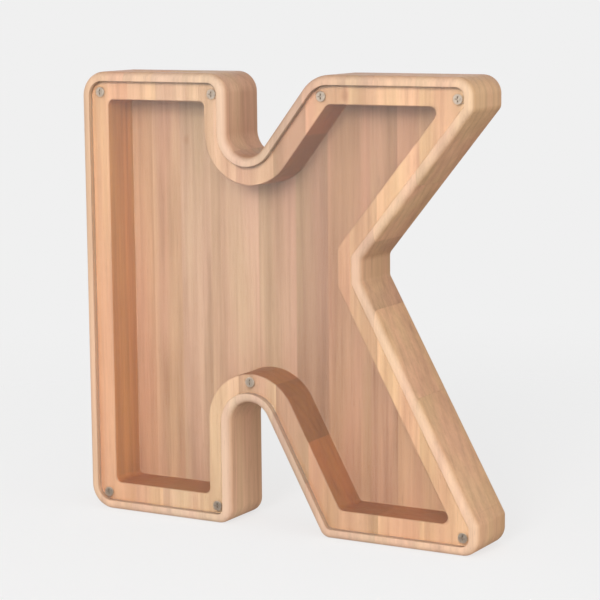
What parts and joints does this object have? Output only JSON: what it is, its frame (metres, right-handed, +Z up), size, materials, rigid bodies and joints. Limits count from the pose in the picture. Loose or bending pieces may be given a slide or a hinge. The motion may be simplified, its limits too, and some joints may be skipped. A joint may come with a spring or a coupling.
{
  "type": "letter-shaped wooden money box",
  "caption": "Upright hollow wooden letter K for saving coins: a board of glued staves carved out from the front, with a coin slot on top and a clear screwed-on front pane.",
  "frame": {"origin": "on the surface the object stands on, under the middle of its bounding box", "axes": "+Z up, +X to the right as the letter is read, -Y towards the clear front, +Y towards the closed back"},
  "size_m": [0.1964, 0.03, 0.2],
  "materials": {
    "wood_pale": "fine sanded, clear matt finish",
    "wood_honey": "fine sanded, clear matt finish",
    "wood_rose": "fine sanded, clear matt finish",
    "wood_tan": "fine sanded, clear matt finish",
    "clear_acrylic": "clear, polished, colourless",
    "steel": "plain zinc-plated screw"
  },
  "bodies": {
    "box": {"stave_01": "wood_rose", "stave_02": "wood_honey", "stave_02_lip": "wood_honey", "stave_03": "wood_tan", "stave_03_lip": "wood_tan", "stave_04": "wood_honey", "stave_05": "wood_pale", "stave_06": "wood_rose", "stave_07": "wood_honey", "stave_08": "wood_pale", "stave_09_arm": "wood_tan", "stave_09_leg": "wood_tan", "stave_10_arm": "wood_honey", "stave_10_leg": "wood_honey"},
    "front_pane": {"front_pane": "clear_acrylic"},
    "screw_stem_top_left": {"screw_stem_top_left": "steel"},
    "screw_stem_top_right": {"screw_stem_top_right": "steel"},
    "screw_arm_top_left": {"screw_arm_top_left": "steel"},
    "screw_arm_top_right": {"screw_arm_top_right": "steel"},
    "screw_notch": {"screw_notch": "steel"},
    "screw_stem_bottom_left": {"screw_stem_bottom_left": "steel"},
    "screw_stem_bottom_right": {"screw_stem_bottom_right": "steel"},
    "screw_leg_bottom_right": {"screw_leg_bottom_right": "steel"}
  },
  "joints": [
    {"name": "pane_lift_off", "type": "slide", "parent": "box", "child": "front_pane", "axis": [0, -1, 0], "range_m": [0, 0.06]},
    {"name": "screw_stem_top_left_out", "type": "slide", "parent": "front_pane", "child": "screw_stem_top_left", "axis": [0, -1, 0], "range_m": [0, 0.0095]},
    {"name": "screw_stem_top_right_out", "type": "slide", "parent": "front_pane", "child": "screw_stem_top_right", "axis": [0, -1, 0], "range_m": [0, 0.0095]},
    {"name": "screw_arm_top_left_out", "type": "slide", "parent": "front_pane", "child": "screw_arm_top_left", "axis": [0, -1, 0], "range_m": [0, 0.0095]},
    {"name": "screw_arm_top_right_out", "type": "slide", "parent": "front_pane", "child": "screw_arm_top_right", "axis": [0, -1, 0], "range_m": [0, 0.0095]},
    {"name": "screw_notch_out", "type": "slide", "parent": "front_pane", "child": "screw_notch", "axis": [0, -1, 0], "range_m": [0, 0.0095]},
    {"name": "screw_stem_bottom_left_out", "type": "slide", "parent": "front_pane", "child": "screw_stem_bottom_left", "axis": [0, -1, 0], "range_m": [0, 0.0095]},
    {"name": "screw_stem_bottom_right_out", "type": "slide", "parent": "front_pane", "child": "screw_stem_bottom_right", "axis": [0, -1, 0], "range_m": [0, 0.0095]},
    {"name": "screw_leg_bottom_right_out", "type": "slide", "parent": "front_pane", "child": "screw_leg_bottom_right", "axis": [0, -1, 0], "range_m": [0, 0.0095]}
  ]
}
